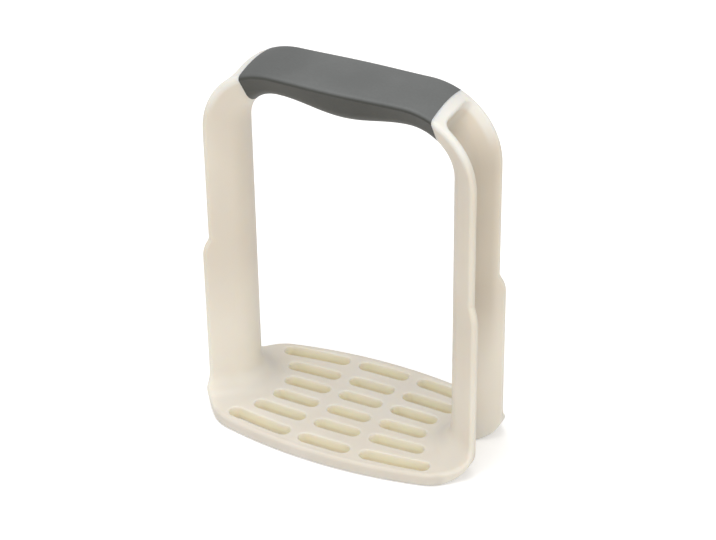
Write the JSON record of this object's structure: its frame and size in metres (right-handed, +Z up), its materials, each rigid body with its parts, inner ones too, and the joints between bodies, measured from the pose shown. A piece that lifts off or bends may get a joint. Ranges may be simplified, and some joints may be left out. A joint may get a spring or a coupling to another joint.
{
  "type": "potato masher",
  "caption": "Portal-shaped hand masher: a slotted oval plate on channel legs that flare into it, shoulders turning into a bar, and a soft swollen grip round the bar.",
  "frame": {"origin": "centre of the bounding box at the underside of the plate, on the floor", "axes": "+X along the grip, +Y from front to back across the plate, +Z up from the plate to the grip"},
  "size_m": [0.1296, 0.0748, 0.1725],
  "materials": {
    "frame_plastic": "satin",
    "core_plastic": "satin",
    "grip_rubber": "soft matt"
  },
  "bodies": {
    "root": {"masher_frame": "frame_plastic", "grip_core": "core_plastic", "grip_skin": "grip_rubber"}
  },
  "joints": []
}
